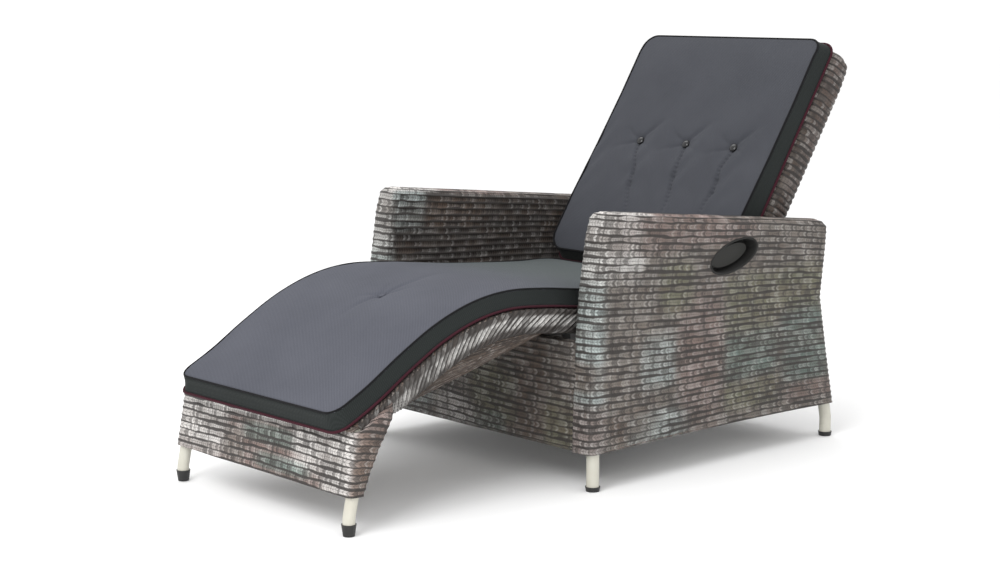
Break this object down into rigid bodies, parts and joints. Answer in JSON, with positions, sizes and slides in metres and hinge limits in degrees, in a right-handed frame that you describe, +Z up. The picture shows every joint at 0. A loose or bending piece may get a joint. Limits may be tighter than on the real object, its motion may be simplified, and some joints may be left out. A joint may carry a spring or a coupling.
{
  "type": "reclining sun lounger",
  "caption": "Woven garden sun lounger with arms, a fixed curved footrest, loose cushions and a back that reclines when the lever in the arm is pulled.",
  "frame": {"origin": "on the floor, under the centre of the bounding box", "axes": "+Z up; -Y towards the foot end, +Y towards the back; +X towards the sitter's left, where the release lever is"},
  "size_m": [0.784, 1.595, 0.957],
  "materials": {
    "frame_white": "satin powder coat",
    "frame_dark": "satin powder coat",
    "weave": "woven flat strand, mixed colours",
    "cushion_fabric": "woven outdoor fabric",
    "button_plastic": "gloss",
    "black_plastic": "matt",
    "steel": "zinc plated",
    "chrome": "polished",
    "aluminium": "cast",
    "black_paint": "gloss",
    "cup_plastic": "moulded",
    "paddle_plastic": "moulded"
  },
  "bodies": {
    "base": {"arm_frame_left": "frame_white", "arm_frame_right": "frame_white", "arm_weave_left": "weave", "arm_weave_right": "weave", "front_cross_frame": "frame_dark", "front_apron_weave": "weave", "rear_cross_frame": "frame_dark", "rear_apron_weave": "weave", "deck_frame": "frame_white", "deck_weave": "weave", "deck_rim_left": "weave", "deck_rim_right": "weave", "footrest_weave": "weave", "body_foot_caps": "black_plastic", "footrest_foot_caps": "black_plastic", "seat_cushion": "cushion_fabric", "seat_button": "button_plastic", "hinge_pins": "steel", "hinge_bushes": "black_plastic", "hinge_washers": "black_plastic", "frame_bolts": "steel", "gas_spring_cylinder": "black_paint", "gas_spring_gland": "black_plastic", "gas_spring_bracket": "steel", "bracket_screws": "steel", "release_head": "aluminium", "release_lever_pin": "steel", "handle_cup": "cup_plastic", "paddle_spindle": "steel", "paddle_spring": "steel", "cable_socket": "black_plastic", "cup_screws": "steel"},
    "back": {"back_frame": "frame_dark", "back_weave": "weave", "back_cushion": "cushion_fabric", "back_buttons": "button_plastic"},
    "spring_rod": {"gas_spring_rod": "chrome", "gas_spring_piston": "steel", "lever_pin": "steel"},
    "paddle": {"release_paddle": "paddle_plastic"},
    "valve_lever": {"release_lever": "steel"}
  },
  "joints": [
    {"name": "back_recline", "type": "hinge", "parent": "base", "child": "back", "pos_m": [0, 0.403, 0.35], "axis": [-1, 0, 0], "range_deg": [0, 46.5]},
    {"name": "spring_rod_slide", "type": "slide", "parent": "base", "child": "spring_rod", "axis": [0, -1, 0], "range_m": [0, 0.0816]},
    {"name": "paddle_pull", "type": "hinge", "parent": "base", "child": "paddle", "pos_m": [0.3655, 0.21166, 0.46045], "axis": [0, 0.2419, -0.9703], "range_deg": [0, 9.5], "stiffness_Nm_per_rad": 1, "springref_deg": -5.73},
    {"name": "valve_lever_turn", "type": "hinge", "parent": "base", "child": "valve_lever", "pos_m": [0, 0.129, 0.283], "axis": [1, 0, 0], "range_deg": [0, 12]}
  ],
  "couplings": [
    {"joint": "spring_rod_slide", "follows": "back_recline", "m_per_rad": 0.10055},
    {"joint": "valve_lever_turn", "follows": "paddle_pull", "ratio": 1.26}
  ]
}
